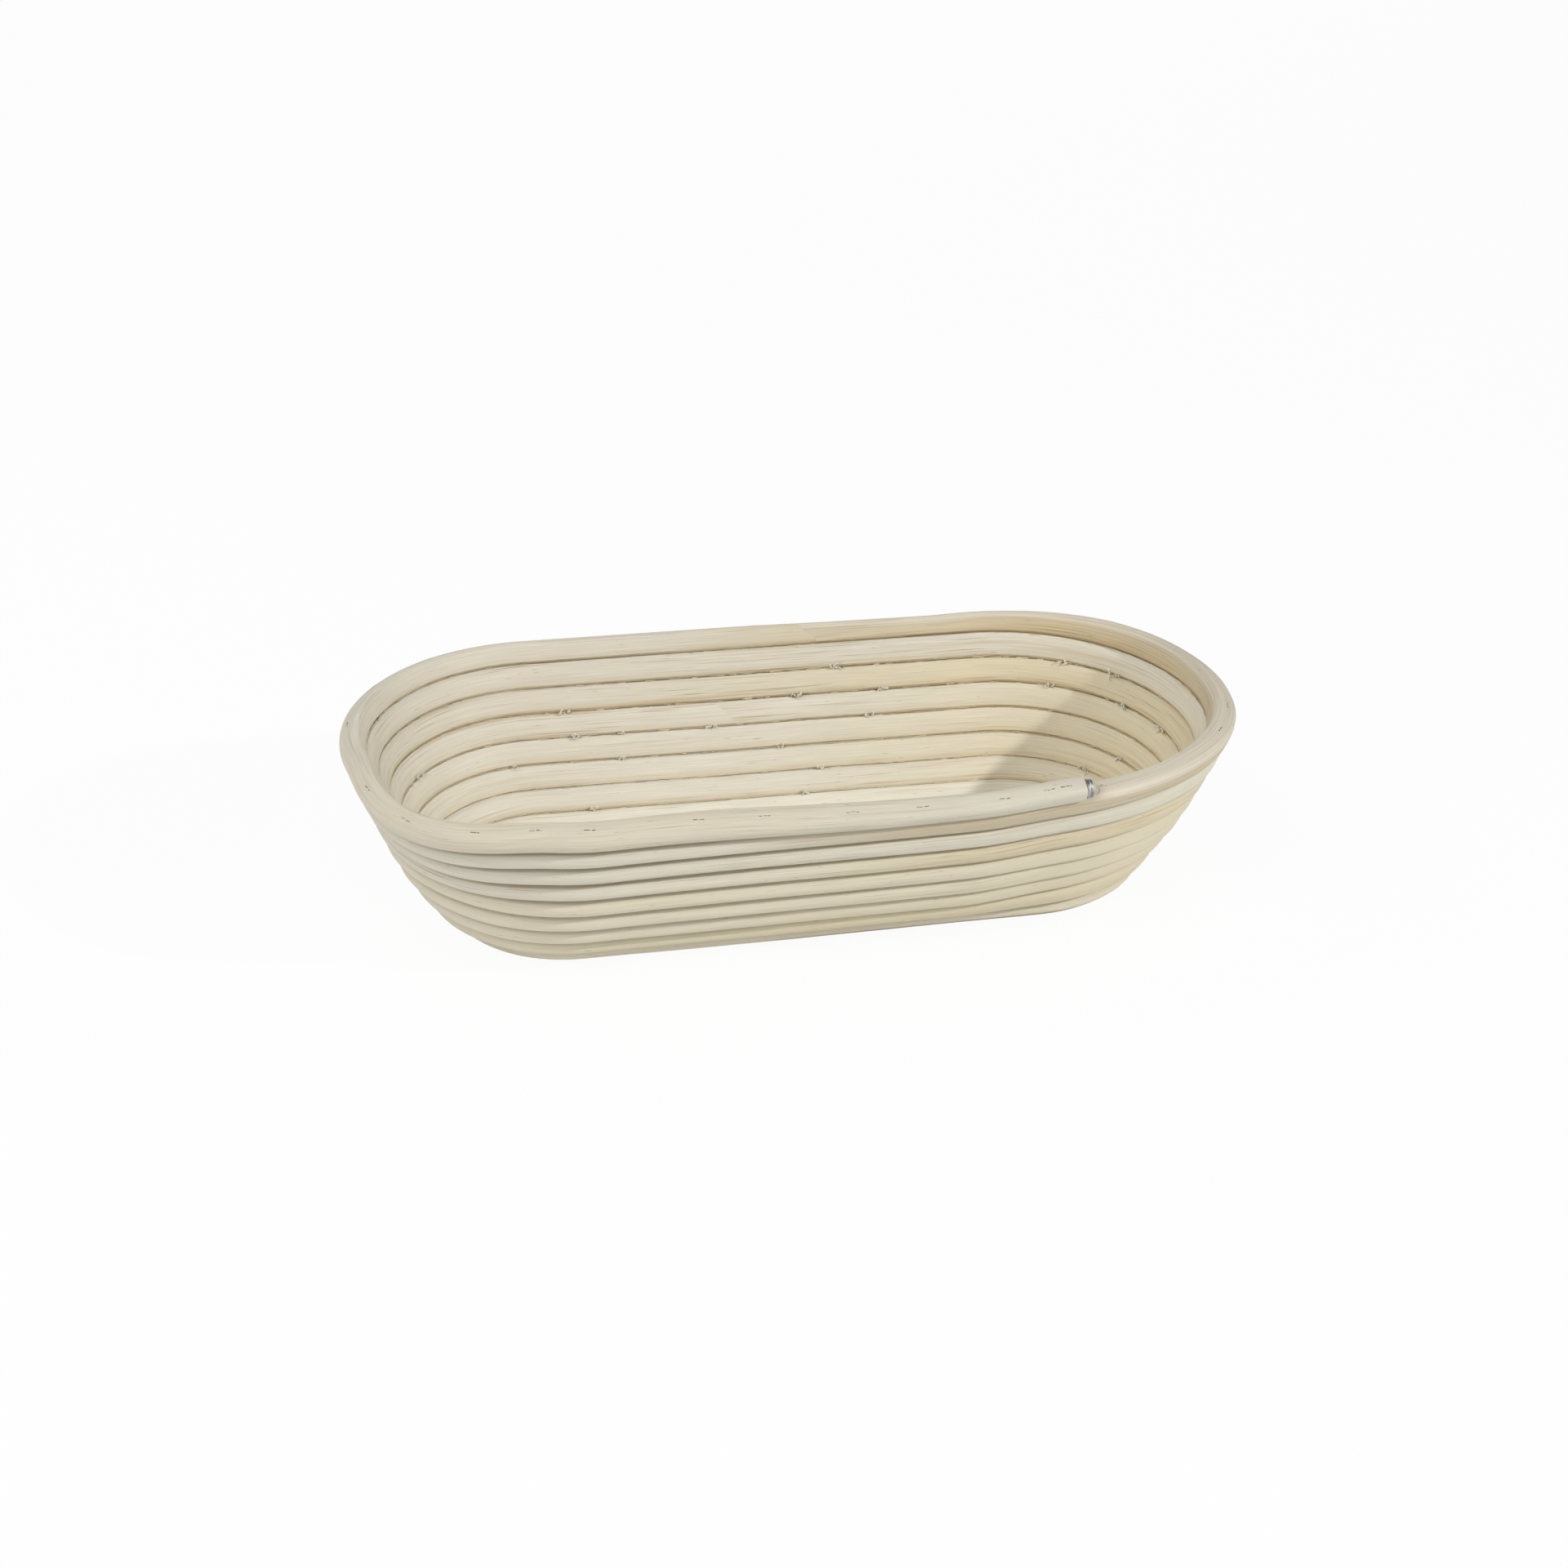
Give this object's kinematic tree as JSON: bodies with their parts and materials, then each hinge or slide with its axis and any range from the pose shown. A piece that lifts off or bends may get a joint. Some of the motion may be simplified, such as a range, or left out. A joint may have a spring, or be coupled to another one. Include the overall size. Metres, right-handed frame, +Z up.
{
  "type": "proofing basket",
  "caption": "Long proofing basket for bread dough, wound as one coil of round cane, with a flat floor, sloping walls and a stapled rim that ends in a step.",
  "frame": {"origin": "on the underside of the floor, below the middle of the innermost strand", "axes": "+X along the long sides, to the right as the picture shows it; +Y to the back; +Z up"},
  "size_m": [0.3506, 0.1746, 0.0809],
  "materials": {
    "pale_cane": "bare, satin, ivory",
    "cream_cane": "bare, satin, cream",
    "tan_cane": "bare, satin, tan",
    "floor_cane": "bare, satin, cream",
    "steel": "plain wire and sheet"
  },
  "bodies": {
    "root": {"base_reed": "floor_cane", "lower_wall_reed": "cream_cane", "upper_wall_reed": "tan_cane", "rim_reed": "pale_cane", "end_ferrule": "steel", "rim_staple_01": "steel", "rim_staple_02": "steel", "rim_staple_03": "steel", "rim_staple_04": "steel", "rim_staple_05": "steel", "rim_staple_06": "steel", "rim_staple_07": "steel", "rim_staple_08": "steel", "rim_staple_09": "steel", "rim_staple_10": "steel", "rim_staple_11": "steel", "rim_staple_12": "steel", "rim_staple_13": "steel", "rim_staple_14": "steel", "rim_staple_15": "steel", "rim_staple_16": "steel", "rim_staple_17": "steel", "rim_staple_18": "steel", "rim_staple_19": "steel", "rim_staple_20": "steel", "rim_staple_21": "steel", "rim_staple_22": "steel", "rim_staple_23": "steel", "rim_staple_24": "steel", "rim_staple_25": "steel", "rim_staple_26": "steel", "rim_staple_27": "steel", "rim_staple_28": "steel"}
  },
  "joints": []
}
